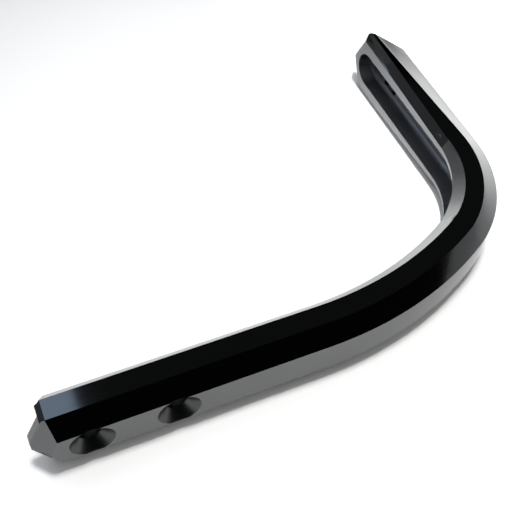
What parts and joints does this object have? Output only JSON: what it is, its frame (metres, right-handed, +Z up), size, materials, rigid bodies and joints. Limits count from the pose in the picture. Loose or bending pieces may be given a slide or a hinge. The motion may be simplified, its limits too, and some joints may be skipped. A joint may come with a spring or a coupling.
{
  "type": "lever guard",
  "caption": "L-shaped lever guard: a milled eight-sided bar with pointed ends, a channel along its inner face and countersunk screw holes, shielding a hand lever.",
  "frame": {"origin": "on the bottom flat of the screw arm, on the bar's centreline, midway between the two screw holes", "axes": "+X along the screw arm towards the bend, +Y towards the inside of the L, +Z up, square to the plane of the L"},
  "size_m": [0.1724, 0.1231, 0.024],
  "materials": {
    "black_anodised_aluminium": "black anodised, satin gloss, machined"
  },
  "bodies": {
    "root": {"lever_guard": "black_anodised_aluminium"}
  },
  "joints": []
}
